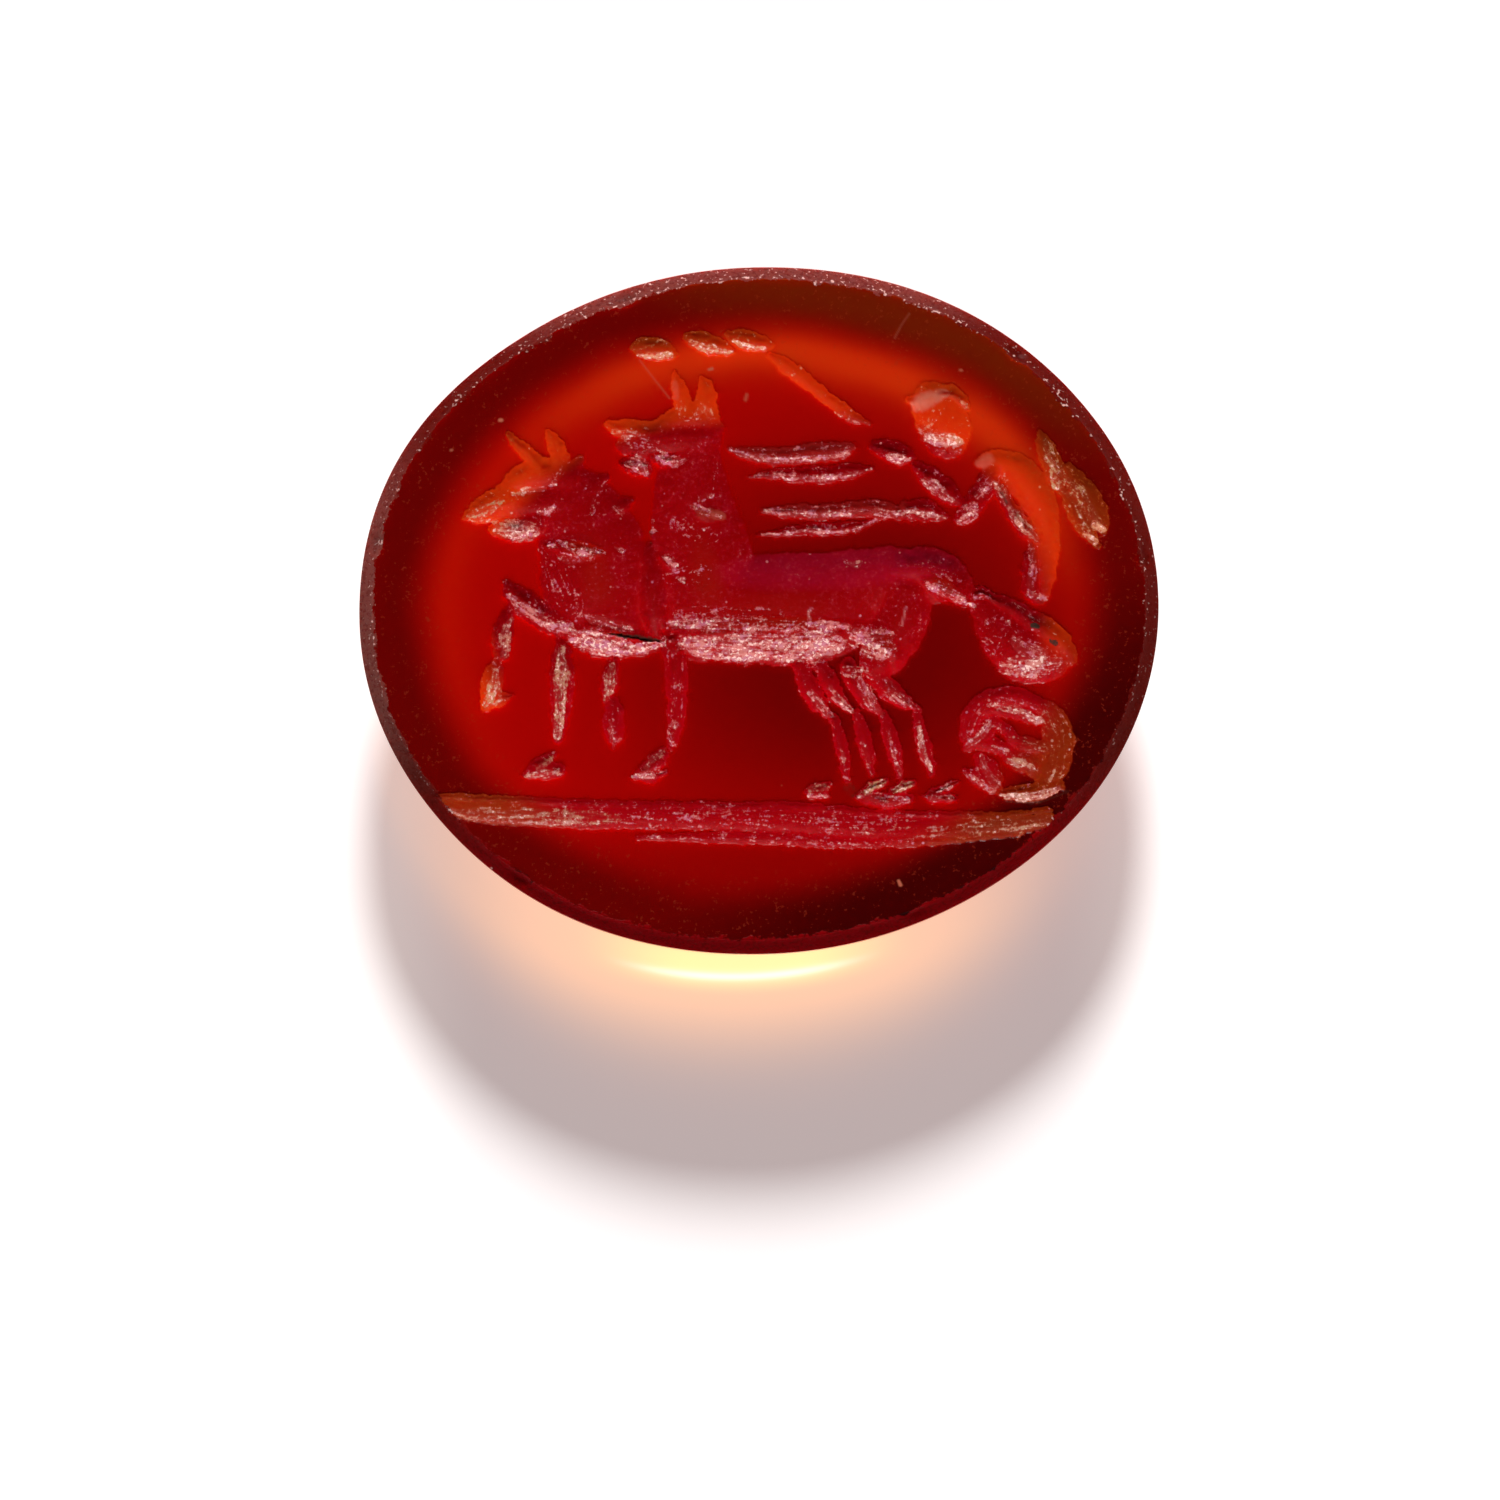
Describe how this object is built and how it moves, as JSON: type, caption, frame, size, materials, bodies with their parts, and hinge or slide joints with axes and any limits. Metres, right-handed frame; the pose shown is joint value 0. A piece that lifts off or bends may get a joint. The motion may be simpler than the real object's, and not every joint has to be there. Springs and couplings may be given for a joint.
{
  "type": "intaglio gem",
  "caption": "Oval ringstone with a flat polished face engraved below its surface with a horse-drawn chariot scene, a bevelled rim and flanks that draw in to a flat back.",
  "frame": {"origin": "middle of the flat back, the face that the stone rests on", "axes": "+X along the oval's long axis, to the right of the engraved scene; +Y up in the scene; +Z out of the engraved face"},
  "size_m": [0.013, 0.0112, 0.0032],
  "materials": {
    "carnelian": "translucent, polished face with frosted cuts"
  },
  "bodies": {
    "root": {"ringstone": "carnelian"}
  },
  "joints": []
}
